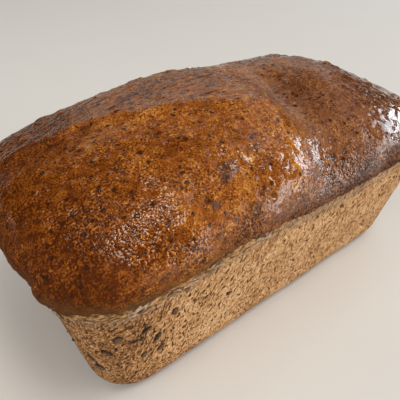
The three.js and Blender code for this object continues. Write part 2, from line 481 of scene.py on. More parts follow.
class Board:
    """A node tree being built."""

    def __init__(self, tree):
        self.tree = tree
        tree.nodes.clear()

    def add(self, kind, inputs=None, output=0, **settings):
        """Any node: its type, its inputs by name or number, the output that is wanted, and its settings."""
        node = self.tree.nodes.new(kind)
        for name, value in settings.items():
            if name == "stops":
                set_stops(node.color_ramp, value)
            else:
                setattr(node, name, value)
        ready = [s for s in node.inputs if s.enabled]
        for key, value in (inputs or {}).items():
            socket = ready[key] if isinstance(key, int) else next(s for s in ready if s.name == key)
            if isinstance(value, (Wire, Joined)):
                for wire in value:
                    self.tree.links.new(wire.socket, socket)
            else:
                socket.default_value = value
        results = [s for s in node.outputs if s.enabled]
        if not results:
            return None
        if isinstance(output, int):
            return Wire(self, results[output])
        return Wire(self, next(s for s in results if s.name == output))

    @cached_property
    def x(self):
        """The X of the board's place."""
        return self.split(self.place)

    @property
    def y(self):
        """The Y of the board's place."""
        return self.x.other("Y")

    @property
    def z(self):
        """The Z of the board's place."""
        return self.x.other("Z")

    def vector(self, operation, first, second, output=0):
        """Arithmetic on two vectors."""
        return self.add("ShaderNodeVectorMath", {0: first, 1: second}, output, operation=operation)

    def kept(self, name, kind="FLOAT"):
        """A geometry tree's attribute of that name."""
        return self.add("GeometryNodeInputNamedAttribute", {"Name": name}, data_type=kind)

    def noise(self, size, detail=2.0, roughness=0.5, place=None):
        """Cloudy noise from 0 to 1 whose features are about that size."""
        inputs = {"Scale": 1 / size, "Detail": detail, "Roughness": roughness}
        return self.add("ShaderNodeTexNoise", {"Vector": place or self.place, **inputs})

    def cells(self, place, size):
        """Distance from the middle of scattered cells of that size; Color differs from cell to cell."""
        return self.add("ShaderNodeTexVoronoi", {"Vector": place, "Scale": 1 / size}, "Distance")

    def near(self, spot, widen=1.0):
        """1 at a spot and 0 beyond its reach, smooth between."""
        reach = widen * spot.reach
        return self.vector("DISTANCE", self.place, spot.at, "Value").ease(reach, SPOT_CORE * reach)

    def near_any(self, spots, widen=1.0):
        """Near any of several spots."""
        return sum(self.near(spot, widen) for spot in spots).ease(0, 1)

    def bumps(self, spots):
        """How far smooth bumps rise, in metres."""
        return sum(self.near(spot) * spot.by for spot in spots)

    def wobbled(self, size, reach):
        """The place shifted about by noise, by up to half that reach each way."""
        shift = self.vector("SUBTRACT", self.noise(size, 1).other("Color"), (0.5, 0.5, 0.5))
        return self.vector("ADD", self.place, self.along(shift, reach))

    def stretch(self, place, factors):
        """A place with each axis scaled."""
        return self.vector("MULTIPLY", place, factors)

    def along(self, vector, amount):
        """The vector made longer by a factor."""
        return self.add("ShaderNodeVectorMath", {"Vector": vector, "Scale": amount}, operation="SCALE")

    def split(self, vector):
        """The vector's X output, with Y and Z beside it."""
        return self.add("ShaderNodeSeparateXYZ", {"Vector": vector})

    def ramp(self, value, stops):
        """A colour that runs through stops of a place from 0 to 1 and a colour."""
        return self.add("ShaderNodeValToRGB", {"Fac": value}, stops=stops)

    def tint(self, factor, first, second):
        """A mix of two colours."""
        colours = [c if isinstance(c, Wire) else (*c, 1.0) for c in (first, second)]
        inputs = {"Factor": factor, "A": colours[0], "B": colours[1]}
        return self.add("ShaderNodeMix", inputs, data_type="RGBA")


def sizes_of(*groups):
    """The single numbers of property groups, by their names."""
    sizes = {}
    for group in groups:
        for key in type(group).__annotations__:
            value = getattr(group, key)
            if isinstance(value, (int, float)):
                sizes[group.bl_rna.properties[key].name] = value
    return sizes


def shape_board(name, sizes):
    """A new geometry tree with a geometry and those sizes as inputs: its board, and a Wire for each."""
    tree = bpy.data.node_groups.new(name, "GeometryNodeTree")
    board = Board(tree)
    tree.interface.new_socket("Geometry", in_out="INPUT", socket_type="NodeSocketGeometry")
    tree.interface.new_socket("Geometry", in_out="OUTPUT", socket_type="NodeSocketGeometry")
    for label, value in sizes.items():
        kind = "NodeSocketInt" if isinstance(value, int) else "NodeSocketFloat"
        tree.interface.new_socket(label, in_out="INPUT", socket_type=kind)
    board.place = board.add("GeometryNodeInputPosition")
    entry = board.add("NodeGroupInput")
    return board, {label: entry.other(label) for label in ("Geometry", *sizes)}


def apply_shape(piece, board, result, sizes, material):
    """Ends the tree at that geometry, runs it on the piece with those sizes and keeps the plain mesh."""
    smooth = board.add("GeometryNodeSetShadeSmooth", {"Geometry": result})
    whole = board.add("GeometryNodeRealizeInstances", {"Geometry": smooth})
    painted = board.add("GeometryNodeSetMaterial", {"Geometry": whole, "Material": material})
    board.add("NodeGroupOutput", {"Geometry": painted})
    modifier = piece.modifiers.new(board.tree.name, "NODES")
    modifier.node_group = board.tree
    for item in board.tree.interface.items_tree:
        if item.in_out == "INPUT" and item.name in sizes:
            modifier[item.identifier] = sizes[item.name]
    bake(piece)


def bake(piece):
    """Replaces the piece's mesh by what its modifiers make of it, and removes them."""
    graph = bpy.context.evaluated_depsgraph_get()
    mesh = bpy.data.meshes.new_from_object(piece.evaluated_get(graph))
    piece.modifiers.clear()
    piece.data = mesh
    mesh.name = piece.name


def new_piece(name, mesh):
    """A new object at the origin that shows the mesh."""
    piece = bpy.data.objects.new(name, mesh)
    bpy.context.scene.collection.objects.link(piece)
    return piece


def raised(board, geometry, height):
    """The geometry moved out along its own normals."""
    offset = board.along(board.add("GeometryNodeInputNormal"), height)
    return board.add("GeometryNodeSetPosition", {"Geometry": geometry, "Offset": offset})


def scattered_points(board, given, most, share):
    """Points strewn over the geometry: the most in a square metre, and the share of that at each place."""
    inputs = {
        "Mesh": given["Geometry"],
        "Distance Min": given["Spacing"],
        "Density Max": most,
        "Density Factor": share,
        "Seed": given["Seed"],
    }
    return board.add("GeometryNodeDistributePointsOnFaces", inputs, distribute_method="POISSON")


def copies(board, points, shape, turn, scale):
    """A copy of the shape at each point."""
    inputs = {"Points": points, "Instance": shape, "Rotation": turn, "Scale": scale}
    return board.add("GeometryNodeInstanceOnPoints", inputs)


def new_finish(name):
    """A new material and its board, whose place is in metres."""
    material = bpy.data.materials.new(name)
    material.use_nodes = True
    board = Board(material.node_tree)
    board.place = board.add("ShaderNodeTexCoord", None, "Object")
    return material, board


def end_finish(board, sockets):
    """Closes a finish with its one shader."""
    end_with(board, board.add("ShaderNodeBsdfPrincipled", sockets))


def end_with(board, shader):
    """Closes a finish with a shader that is already made."""
    board.add("ShaderNodeOutputMaterial", {"Surface": shader})


# Body

def merged_solid():
    """A copy of the solid's mesh with its loose triangles joined."""
    mesh = frame["nodes"][SOLID].data.copy()
    work = bmesh.new()
    work.from_mesh(mesh)
    bmesh.ops.remove_doubles(work, verts=work.verts, dist=0.001 * MM)
    work.to_mesh(mesh)
    work.free()
    return mesh


def vectors_of(items, name):
    """One three-number property of every vertex or face, as an array."""
    values = np.zeros(len(items) * 3, np.float32)
    items.foreach_get(name, values)
    return values.reshape(-1, 3)


def turn_of(points):
    """The angle round the loaf of each point, with the corners at 45 degrees."""
    return np.arctan2(points[:, 1] / LOAF_WIDTH, points[:, 0] / LOAF_LENGTH)


def rim_heights(solid):
    """The height of the crust's lip at even turns round the loaf, from the solid's faces that look down."""
    corners = vectors_of(solid.vertices, "co")
    normals = vectors_of(solid.polygons, "normal")
    faces = np.array([p.vertices[:] for p in solid.polygons])
    low = corners[faces][:, :, 2].min(axis=1)
    middles = corners[faces].mean(axis=1)
    lip = (normals[:, 2] < LIP_FACES_DOWN) & (low > LIP_ABOVE_SHARE * LOAF_HEIGHT)
    steps = ((turn_of(middles[lip]) + math.pi) / (2 * math.pi) * RIM_STEPS).astype(int) % RIM_STEPS
    heights = np.full(RIM_STEPS, np.inf)
    np.minimum.at(heights, steps, low[lip])
    known = np.flatnonzero(np.isfinite(heights))
    heights = np.interp(np.arange(RIM_STEPS), known, heights[known], period=RIM_STEPS)
    return (np.roll(heights, 1) + 2 * heights + np.roll(heights, -1)) / 4


def rim_at(heights, points):
    """The lip's height beside each point."""
    steps = (turn_of(points) + math.pi) / (2 * math.pi) * RIM_STEPS - 0.5
    return np.interp(steps, np.arange(RIM_STEPS), heights, period=RIM_STEPS)


def keep_number(mesh, name, values):
    """Stores one number for each vertex."""
    attribute = mesh.attributes.new(name, "FLOAT", "POINT")
    attribute.data.foreach_set("value", np.asarray(values, np.float32))


def tree_of(mesh):
    """The mesh as a tree for finding its nearest places."""
    return BVHTree.FromPolygons([v.co for v in mesh.vertices], [p.vertices for p in mesh.polygons])


def grain_lifts(mesh, solid):
    """How far the solid's grains stand above the smoothed mesh at each vertex."""
    reach = 4 * MM
    least = 0.3 * MM
    tree = tree_of(solid)
    lifts = np.zeros(len(mesh.vertices))
    for i, vertex in enumerate(mesh.vertices):
        found = tree.ray_cast(vertex.co + vertex.normal * reach, -vertex.normal, 2 * reach)
        if found[3] is not None:
            lifts[i] = max(reach - found[3] - least, 0)
    return lifts


def smooth_body():
    """The solid remeshed evenly, rounded off and refined, with its rim line and grains as attributes."""
    solid = merged_solid()
    piece = new_piece(BODY_PIECE, solid.copy())
    even = piece.modifiers.new("Even faces", "REMESH")
    even.mode = "VOXEL"
    even.voxel_size = MESH_STEP
    soften = piece.modifiers.new("Soften", "SMOOTH")
    soften.iterations = SMOOTHING_PASSES
    refine = piece.modifiers.new("Refine", "SUBSURF")
    refine.levels = 1
    refine.render_levels = 1
    bake(piece)
    points = vectors_of(piece.data.vertices, "co")
    keep_number(piece.data, ABOVE_RIM, points[:, 2] - rim_at(rim_heights(solid), points))
    keep_number(piece.data, GRAIN_LIFT, grain_lifts(piece.data, solid))
    return piece


def skin_height(board, beyond, given):
    """The crust's low relief: lumps, blisters, puckers and the far slope's wrinkles."""
    lumps = (board.noise(given["Crust lump size"]) - 0.5) * 2 * given["Crust lump height"]
    blisters = board.noise(given["Blister size"], 1).ease(0.45, 0.75) * given["Blister height"]
    puckers = (board.noise(given["Pucker size"], 1) - 0.5) * 2 * given["Pucker height"]
    wrinkled = beyond.ease_mm(-4, 6) * board.x.ease_mm(24, 0)
    wrinkles = wrinkle_ridges(board, given["Wrinkle size"]) * wrinkled * given["Wrinkle height"]
    return lumps + blisters + puckers + wrinkles


def dome_height(board, above, beyond, given):
    """How the smaller hump, the hollow before it and the fold differ from the solid's dome."""
    x, y = board.x, board.y
    past_hump = x - y * HOLLOW_SKEW - HOLLOW_START + (board.noise(15 * MM) - 0.5) * (6 * MM)
    hollow = past_hump.ease_mm(-7, 9) * past_hump.ease_mm(42, 10)
    hollow = hollow * y.ease_mm(26, -2) * above.ease_mm(5, 18)
    fold = beyond.ease_mm(-9, 0) * beyond.ease_mm(8, 0) * x.ease_mm(12, -6)
    hump = board.near(HUMP) * given["Hump height"]
    return hump - hollow * given["Hollow depth"] + fold * given["Fold height"]


def spot_height(board, given):
    """The relief of nubs, pits, nodules, scabs and knobs."""
    scabs = board.near_any((*SCABS, *KNOBS)) * (board.noise(1.8 * MM, 0) - 0.4)
    height = board.bumps(NUBS) - board.bumps((*NOTCH, *PITS))
    return height + nodule_mask(board) * given["Nodule height"] + scabs * given["Scab height"]


def side_height(board, given):
    """The sides' low swellings and open pores."""
    lumps = (board.noise(given["Side lump size"]) - 0.5) * 2 * given["Side lump height"]
    pores = board.cells(slanted_place(board), given["Pore size"])
    return lumps - pores.ease(0.42, 0.05) * given["Pore depth"]


def shape_crust(piece, crust, side, material):
    """Raises the body's own surface above and below the rim, and sinks a groove under the crust's lip."""
    sizes = sizes_of(crust, side)
    board, given = shape_board("Loaf Surface", sizes)
    above = board.kept(ABOVE_RIM)
    edge = rim_edge(board, above)
    beyond = past_fold(board)
    is_crust = edge.ease_mm(-1.5, 1)
    off_base = board.z.ease_mm(1.5, 7)
    crust_height = skin_height(board, beyond, given) + board.kept(GRAIN_LIFT)
    crust_height = crust_height + dome_height(board, above, beyond, given)
    crust_height = crust_height + spot_height(board, given)
    groove = abs(edge + GROOVE_DROP).ease_mm(2.2, 0) * given["Groove depth"]
    height = is_crust * crust_height + (1 - is_crust) * side_height(board, given) - groove
    apply_shape(piece, board, raised(board, given["Geometry"], height * off_base), sizes, material)


def rim_edge(board, above):
    """The height above the crust's ragged edge, which lies a little higher at the near corner."""
    near_corner = board.x.ease_mm(5, -75)
    ragged = above + (board.noise(6 * MM, 4, 0.7) - 0.5) * (8 * MM)
    return ragged - (1 + near_corner * 1.2) * MM


def past_fold(board):
    """How far a place lies beyond the wavy fold that bounds the far slope."""
    wavy = (board.noise(13 * MM, 2) - 0.5) * (10 * MM)
    return board.y - board.x * FOLD_SKEW - FOLD_START + wavy


def wrinkle_ridges(board, size):
    """Lengthwise ridges, from 0 between them to 1 along them."""
    lengthwise = board.stretch(board.place, (0.25, 1.0, 1.0))
    return 1 - abs(board.noise(size, 1, place=lengthwise) * 2 - 1)


def nodule_mask(board):
    """Where small hard nodules stand in the crust, 1 at their middles."""
    spots = board.cells(board.wobbled(3 * MM, 3 * MM), 8 * MM)
    chosen = board.split(spots.other("Color")).ease(0.45, 0.55)
    return spots.ease(0.24, 0.08) * chosen


def skin_dots(board):
    """Where seeds show dark in the crust's skin, and where small hard beads stand under it."""
    dots = board.cells(board.wobbled(2 * MM, 1.5 * MM), 4 * MM)
    kind = board.split(dots.other("Color"))
    seeds = dots.ease(0.31, 0.20) * kind.ease(0.52, 0.48)
    return seeds, dots.ease(0.36, 0.0) * kind.ease(0.53, 0.57)


def slanted_place(board):
    """The place turned and squeezed so that noise made from it runs up the long sides at a slant."""
    inputs = {"Vector": board.wobbled(7 * MM, 3 * MM), "Angle": -PORE_SLANT}
    turned = board.add("ShaderNodeVectorRotate", inputs, rotation_type="Y_AXIS")
    return board.stretch(turned, (1.0, 1.0, 0.42))


def streak_mask(board):
    """Where the crust's pale streak is."""
    x = board.split(board.vector("SUBTRACT", board.place, STREAK_MIDDLE))
    along = x * STREAK_WAY.x + x.other("Y") * STREAK_WAY.y
    across = x * STREAK_WAY.y - x.other("Y") * STREAK_WAY.x
    wavy = across + (board.noise(7 * MM) - 0.5) * (4 * MM)
    within = abs(along).ease(STREAK_HALF_LENGTH, 0.6 * STREAK_HALF_LENGTH)
    return within * abs(wavy).ease(STREAK_HALF_WIDTH, 0)


def crust_zones(board, above):
    """Masks of the crust's regions and spots, and the noise that its colour and its relief share."""
    x, y = board.x, board.y
    distant = x.ease_mm(-80, 10)
    near_bubbles, far_bubbles = board.noise(0.9 * MM, 0), board.noise(1.1 * MM, 0)
    beyond = past_fold(board)
    scabs = board.near_any(SCABS)
    seeds, beads = skin_dots(board)
    return SimpleNamespace(
        bubbles=near_bubbles * (1 - distant) + far_bubbles * distant,
        clusters=board.noise(9 * MM, 2).ease(0.36, 0.62),
        mottle=board.noise(3.6 * MM, 2, 0.6),
        left_end=x.ease_mm(-62, -118),
        right_end=x.ease_mm(8, 40) * y.ease_mm(15, -20),
        second_hump=(x - y * HOLLOW_SKEW).ease_mm(8, 34),
        lower_edge=above.ease_mm(26, 4),
        beyond=beyond,
        far_slope=beyond.ease_mm(-4, 9) * x.ease_mm(26, -4),
        sparkling=board.near_any(SPARKLING),
        blistered=board.near_any(BLISTERED),
        glazed=board.near_any(GLAZED),
        scabs=scabs,
        rough_spots=(nodule_mask(board) + scabs + board.near_any(KNOBS)).ease(0, 1),
        pits=board.noise(1.5 * MM, 0).ease(0.30, 0.21) + board.near_any(PITS, SUNK_COLOUR),
        seeds=seeds,
        beads=beads,
    )


def crust_tone(board, crust, zones):
    """How light the crust is, from 0 at its darkest to 1 at its palest."""
    patches = board.noise(24 * MM, 2)
    grain = board.noise(0.6 * MM, 1)
    grainy = 0.55 + board.noise(14 * MM, 1).ease(0.35, 0.65) * 0.9
    specks = grain.ease(0.50, 0.30) * grainy
    furrow_shade = wrinkle_ridges(board, crust.wrinkle_size).ease(0.72, 0.5)
    dip_shade = zones.bubbles.ease(0.55, 0.40)
    tone = CRUST_TONE + (patches - 0.5) * 0.65 + (zones.mottle - 0.5) * 1.2 + (grain - 0.5) * 0.9
    # The tone rises on the bubbles and falls between them: painted light and shade that follow their relief
    tone = tone - specks * 0.3 + (zones.bubbles - 0.5) * zones.clusters * 1.1
    # Painted shade darkens the left end, which faces away from the window light
    tone = tone - zones.left_end * 0.44 - zones.right_end * 0.14
    tone = tone - zones.far_slope * 0.12 - zones.second_hump * 0.06 - zones.lower_edge * 0.03
    # Painted shade in a hollow beside the flank and in the valleys of the far slope's wrinkles
    tone = tone - board.near_any(SHADED) * 0.15 - zones.far_slope * furrow_shade * 0.8
    # Painted shade in the dips between bubbles on rough spots, sparkling and blistered crust
    return tone - (zones.rough_spots + zones.sparkling + zones.blistered) * dip_shade * 0.25


def crust_shade(board, above, crust, zones):
    """The crust's colour: its brown tones, then its dull parts with painted sheen, its spots, its singed lower edge
    with painted shade, and painted glints.
    """
    tone = crust_tone(board, crust, zones)
    tones = ((0.0, crust.umber), (0.33, crust.brown), (0.66, crust.amber), (1.0, crust.gold))
    sheen_tones = ((0.0, crust.umber), (0.6, crust.dusk), (1.0, crust.straw))
    singed_shade_tones = ((0.1, crust.speck), (0.5, crust.burnt), (1.0, crust.dusk))
    # The smaller hump and the far slope turn duller, with painted grey-pink sheen
    dull = (zones.second_hump + zones.far_slope * (0.3 + zones.clusters * 0.6)).ease(0, 1)
    shade = board.tint(dull * 0.6, board.ramp(tone, tones), board.ramp(tone, sheen_tones))
    layers = (
        (streak_mask(board) * zones.mottle.ease(0.40, 0.60), 0.6, crust.straw),
        (board.near_any(NOTCH, SUNK_COLOUR), 0.6, crust.umber),
        (zones.scabs * zones.mottle.ease(0.65, 0.45), 0.75, crust.soot),
        (zones.pits.ease(0, 1), 0.8, crust.speck),
        (zones.seeds, 0.9, crust.speck),
    )
    for mask, share, layer in layers:
        shade = board.tint(mask * share, shade, layer)
    # The crust's lower edge turns darker, partly its own browning and partly painted shade where it turns under, with
    # painted sheen at its palest
    near_edge = (above + (zones.mottle - 0.5) * (24 * MM)).ease_mm(23, 6)
    near_edge = near_edge * board.x.ease_mm(-80, -40)
    shade = board.tint(near_edge * 0.7, shade, board.ramp(tone, singed_shade_tones))
    # Painted glints: pale specks that stand in for tiny highlights, more of them on the scabs and none at the left end
    glints = (board.noise(1.0 * MM, 0) + zones.scabs * 0.08).ease(0.75, 0.82) * (1 - zones.left_end)
    return board.tint(glints * zones.clusters * 0.5, shade, crust.fleck)


def crust_relief(board, zones):
    """The crust's fine relief in metres: bubbles, broad blisters, welts, creases and beads."""
    steep = 0.22 + zones.clusters * 0.22 + zones.sparkling * 0.25
    steep = steep + zones.blistered * 0.8 + zones.rough_spots * 0.5
    broad = board.noise(3.6 * MM, 0) * zones.glazed
    welts = board.noise(2.0 * MM, 1) * zones.blistered
    lengthwise = board.stretch(board.place, (0.3, 1.0, 1.0))
    creases = board.noise(3.0 * MM, 1, place=lengthwise) * zones.far_slope
    relief = zones.bubbles * steep * (1 - zones.glazed * 0.7) * (0.5 * MM) + broad * (1.9 * MM)
    relief = relief - zones.pits * (0.1 * MM) + creases * (1.1 * MM)
    return relief + welts * (0.75 * MM) + zones.beads * (0.55 * MM)


def crust_gloss(board, edge, zones):
    """How glossy the loaf is: not at all below the rim, and less at dull spots and before the fold."""
    x = board.x
    left_end = x.ease_mm(-80, -110)
    near_corner = x.ease_mm(5, -75)
    gloss = (edge - left_end * (9 * MM) - near_corner * (2 * MM)).ease_mm(2, 11)
    before_fold = zones.beyond.ease_mm(-34, -12) * zones.beyond.ease_mm(3, -2)
    before_fold = before_fold * x.ease_mm(6, -20)
    return gloss * (1 - board.near_any(DULL) * 0.8) * (1 - before_fold * 0.65)


def side_tones(board, edge, side):
    """The sides' colour and their fine relief in metres: steep pores in a felted crumb, with painted shade in the
    pores and just under the rim, and greyer towards the right end.
    """
    x = board.x
    slanted = slanted_place(board)
    patches = board.noise(17 * MM, 3)
    felt = board.noise(0.75 * MM, 1, place=slanted)
    fine = board.noise(0.7 * MM, 1)
    coarse = board.noise(1.6 * MM, 1, place=slanted)
    pores = board.noise(1.15 * MM, 0, place=slanted).ease(0.39, 0.28)
    near_base = board.z.ease_mm(15, 3)
    near_corner = x.ease_mm(-65, -105)
    tone = SIDE_TONE + (felt - 0.5) * 1.3 + (fine - 0.5) + (coarse - 0.5) * 0.8
    # Painted shade in the pores, and painted shade towards the left end, which faces away from the window light
    tone = tone + (patches - 0.5) * 0.7 - near_base * 0.10 - near_corner * 0.24 - pores * 0.6
    stops = ((0.0, side.pore), (0.3, side.toast), (0.6, side.tan), (1.0, side.pale))
    # Painted shade just under the crust's lip, and a greyer tint towards the right end
    rim_shade_grey_end = edge.ease_mm(-12, -1) * 0.5 + x.ease_mm(70, 115) * 0.35
    shade = board.tint(rim_shade_grey_end, board.ramp(tone, stops), side.dust)
    return shade, (felt + fine) * (0.5 * MM) - pores * (0.9 * MM)


def torn_tones(board, side):
    """The torn band's colour, that colour scorched, and its relief of fibres that run along the rim; its darkest tone
    is painted shade in the cracks between fibres.
    """
    fibres = board.noise(0.9 * MM, 2, 0.6, board.stretch(board.place, (0.3, 0.3, 1.0)))
    tone = TORN_TONE + (fibres - 0.5) * 2.4 + (board.noise(8 * MM, 2) - 0.5) * 0.8
    # Painted shade at the left end, which faces away from the window light
    tone = tone - board.x.ease_mm(-92, -108) * 0.25
    stops = ((0.0, side.pore), (0.3, side.olive), (0.65, side.tan), (1.0, side.crumb))
    scorched = ((0.0, side.pore), (0.5, side.scorched), (1.0, side.olive))
    return board.ramp(tone, stops), board.ramp(tone, scorched), fibres * (0.9 * MM)


def rim_shadow(board, edge):
    """The broken dark line under the crust's lip."""
    broken = board.noise(4 * MM, 2).ease(0.40, 0.55)
    return abs(edge + GROOVE_DROP).ease_mm(1.1, 0.3) * broken


def bread_finish(crust, side):
    """Glossy mottled crust, matt porous sides and a torn band between them, in one material."""
    material, board = new_finish("bread_crust_and_sides")
    x = board.x
    above = board.add("ShaderNodeAttribute", None, "Fac", attribute_name=ABOVE_RIM)
    edge = rim_edge(board, above)
    zones = crust_zones(board, above)
    is_crust = edge.ease_mm(-1, 1.2)
    is_torn = edge.ease_mm(-6, -3) * x.ease_mm(0, -40)
    fading = edge.ease_mm(8, 0.5) * x.ease_mm(-25, -85) * 0.85

    side_shade, side_relief = side_tones(board, edge, side)
    torn_shade, scorched_shade, torn_relief = torn_tones(board, side)
    low_shade = board.tint(is_torn, side_shade, torn_shade)
    low_relief = is_torn * torn_relief + (1 - is_torn) * side_relief
    top_shade = board.tint(fading, crust_shade(board, above, crust, zones), scorched_shade)
    top_relief = crust_relief(board, zones) + fading * torn_relief * 0.7
    shade = board.tint(is_crust, low_shade, top_shade)
    shade = board.tint(rim_shadow(board, edge) * 0.8, shade, side.pore)
    relief = is_crust * top_relief + (1 - is_crust) * low_relief
    bump = board.add("ShaderNodeBump", {"Strength": 1.0, "Distance": 1.0, "Height": relief})

    rough = 0.07 + board.noise(6 * MM, 2) * 0.08 + zones.far_slope * 0.11
    glaze = zones.glazed * above.ease_mm(9, 19)
    matt = {"Base Color": shade, "Normal": bump, "Roughness": 0.9, "Specular IOR Level": 0.1}
    glossy = {"Base Color": shade, "Normal": bump, "Roughness": rough, "Specular IOR Level": 0.58}
    glossy.update({"Coat Weight": glaze, "Coat Roughness": 0.08})
    shaders = [board.add("ShaderNodeBsdfPrincipled", sockets) for sockets in (matt, glossy)]
    gloss = crust_gloss(board, edge, zones)
    end_with(board, board.add("ShaderNodeMixShader", {0: gloss, 1: shaders[0], 2: shaders[1]}))
    return material


class LOAF_OT_bake_body(bpy.types.Operator):
    """Make the loaf's body with its crust and sides"""

    bl_idname = "loaf.bake_body"
    bl_label = "Bake Body"

    def execute(self, context):
        crust, side = context.scene.loaf_crust, context.scene.loaf_side
        piece = smooth_body()
        shape_crust(piece, crust, side, bread_finish(crust, side))
        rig.ride(piece, BODY)
        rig.replaces(piece, SOLID)
        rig.slot(piece, "crust")
        return {"FINISHED"}


# Grains

# A grain's place, its length and width, how far it stands out, and its roll
Kernel = namedtuple("Kernel", "at long wide proud roll")

# Grains placed one by one, in millimetres and degrees
PLACED_GRAINS = (
    Kernel(at=(-100.5, -60, 56.6), long=7.4, wide=3.8, proud=0.9, roll=63),
    Kernel(at=(-89.2, -61.3, 54.1), long=5.8, wide=4.6, proud=0.9, roll=35),
    Kernel(at=(-91.3, -60.7, 49.5), long=4, wide=2.2, proud=0.8, roll=90),
    Kernel(at=(-84, -60.1, 44), long=6.6, wide=4.2, proud=0.9, roll=75),
    Kernel(at=(-82.2, -58.7, 32.7), long=5.5, wide=4.2, proud=0.9, roll=60),
    Kernel(at=(-90.5, -58.7, 34.9), long=6, wide=3.6, proud=0.8, roll=80),
    Kernel(at=(-108.8, -48, 37), long=7, wide=2.6, proud=0.8, roll=45),
    Kernel(at=(-104.2, -55.6, 45.7), long=7.4, wide=3, proud=0.9, roll=88),
    Kernel(at=(-106.6, -48.8, 28), long=7.2, wide=5.4, proud=0.9, roll=30),
    Kernel(at=(-101.3, -57.9, 48.6), long=3.4, wide=1.9, proud=0.7, roll=53),
    Kernel(at=(-76.4, -61.8, 56.3), long=6.6, wide=3.6, proud=0.8, roll=90),
)
MOST_GRAINS_PER_SQUARE_METRE = 20000.0
GRAIN_SEGMENTS, GRAIN_RINGS = 10, 6

# The least and the most by which a scattered grain's size is multiplied
GRAIN_SCALES = 0.45, 1.2


def placed_points(solid, grain):
    """A copy of the body's mesh with one loose point, facing outwards, for each placed grain."""
    mesh = solid.copy()
    tree = tree_of(solid)
    found = [tree.find_nearest(Vector(row.at) * MM) for row in PLACED_GRAINS]
    start, count = len(mesh.vertices), len(PLACED_GRAINS)
    mesh.vertices.add(count)
    for i, (place, *_) in enumerate(found):
        mesh.vertices[start + i].co = place
    thickness = grain.grain_thickness
    spans = [(row.long * MM, row.wide * MM, thickness + 2 * row.proud * MM) for row in PLACED_GRAINS]
    stances = [(1, row.proud * MM, math.radians(row.roll)) for row in PLACED_GRAINS]
    keep_rows(mesh, FACING, start, [normal for _, normal, *_ in found])
    keep_rows(mesh, SPAN, start, spans)
    keep_rows(mesh, STANCE, start, stances)
    return mesh


def keep_rows(mesh, name, start, rows):
    """Stores three numbers for each vertex from a start on, and zeros before it."""
    attribute = mesh.attributes.new(name, "FLOAT_VECTOR", "POINT")
    for i, row in enumerate(rows):
        attribute.data[start + i].vector = row


def rolled(board, rotation, angle):
    """The rotation, rolled by an angle about its own upright axis."""
    roll = board.add("FunctionNodeAxisAngleToRotation", {"Axis": (0, 0, 1), "Angle": angle})
    inputs = {"Rotation": rotation, "Rotate By": roll}
    return board.add("FunctionNodeRotateRotation", inputs, rotation_space="LOCAL")


def random_between(board, least, most, seed):
    """A number that differs from point to point."""
    return board.add("FunctionNodeRandomValue", {"Min": least, "Max": most, "Seed": seed})


def kernel_shape(board):
    """A grain one unit across, which keeps how high each of its points lies."""
    inputs = {"Segments": GRAIN_SEGMENTS, "Rings": GRAIN_RINGS, "Radius": 0.5}
    ball = board.add("GeometryNodeMeshUVSphere", inputs)
    inputs = {"Geometry": ball, "Name": KERNEL_TOP, "Value": board.z * 2}
    return board.add("GeometryNodeStoreNamedAttribute", inputs)


def sunk(board, points, facing, proud, thickness):
    """The points moved in until a grain at each stands out only so far."""
    offset = board.along(facing, proud - thickness * 0.5)
    return board.add("GeometryNodeSetPosition", {"Geometry": points, "Offset": offset})


def grow_grains(piece, grain, material):
    """Puts a grain at each placed point, and scatters more over the sides."""
    sizes = sizes_of(grain)
    board, given = shape_board("Loaf Grains", sizes)
    kernel = kernel_shape(board)
    above = board.kept(ABOVE_RIM)
    on_sides = above.ease_mm(-5, -9) * board.z.ease_mm(6, 13)
    by_corner = 0.1 + board.x.ease_mm(-20, -90) * 0.3
    share = on_sides * by_corner
    scattered = scattered_points(board, given, MOST_GRAINS_PER_SQUARE_METRE, share)
    scale = random_between(board, *GRAIN_SCALES, given["Seed"])
    roll = random_between(board, 0.0, math.tau, given["Seed"] + 1)
    turn = rolled(board, scattered.other("Rotation"), roll)
    facing = scattered.other("Normal")
    loose = sunk(board, scattered, facing, given["Proud"] * scale, given["Thickness"] * scale)
    inputs = {0: given["Length"], 1: given["Width"], 2: given["Thickness"]}
    span = board.add("ShaderNodeCombineXYZ", inputs)
    strewn = copies(board, loose, kernel, turn, board.along(span, scale))

    stance = board.split(board.kept(STANCE, "FLOAT_VECTOR"))
    facing = board.kept(FACING, "FLOAT_VECTOR")
    span = board.kept(SPAN, "FLOAT_VECTOR")
    marked = board.add("GeometryNodeMeshToPoints", {"Mesh": given["Geometry"], "Selection": stance})
    upright = board.add("FunctionNodeAlignRotationToVector", {"Vector": facing}, axis="Z")
    seated = sunk(board, marked, facing, stance.other("Y"), board.split(span).other("Z"))
    turn = rolled(board, upright, stance.other("Z"))
    set_in = copies(board, seated, kernel, turn, span)
    both = board.add("GeometryNodeJoinGeometry", {"Geometry": Joined((strewn, set_in))})
    whole = board.add("GeometryNodeRealizeInstances", {"Geometry": both})
    uneven = (board.noise(2 * MM, 1) - 0.5) * (1.2 * MM)
    apply_shape(piece, board, raised(board, whole, uneven), sizes, material)


def grain_finish(grain):
    """A dark husk round a browner middle."""
    material, board = new_finish("whole_grain")
    top = board.add("ShaderNodeAttribute", None, "Fac", attribute_name=KERNEL_TOP)
    mixed = board.noise(9 * MM, 0).ease(0.35, 0.65)
    tone = top.ease(0.5, 0.9) * (0.35 + mixed * 0.8) + (board.noise(1.2 * MM, 2) - 0.5)
    shade = board.tint(tone.ease(0, 1), grain.husk, grain.worn)
    ridges = board.noise(0.9 * MM, 0) * (0.3 * MM)
    bump = board.add("ShaderNodeBump", {"Distance": 1.0, "Height": ridges})
    end_finish(board, {"Base Color": shade, "Roughness": 0.45, "Specular IOR Level": 0.12, "Normal": bump})
    return material


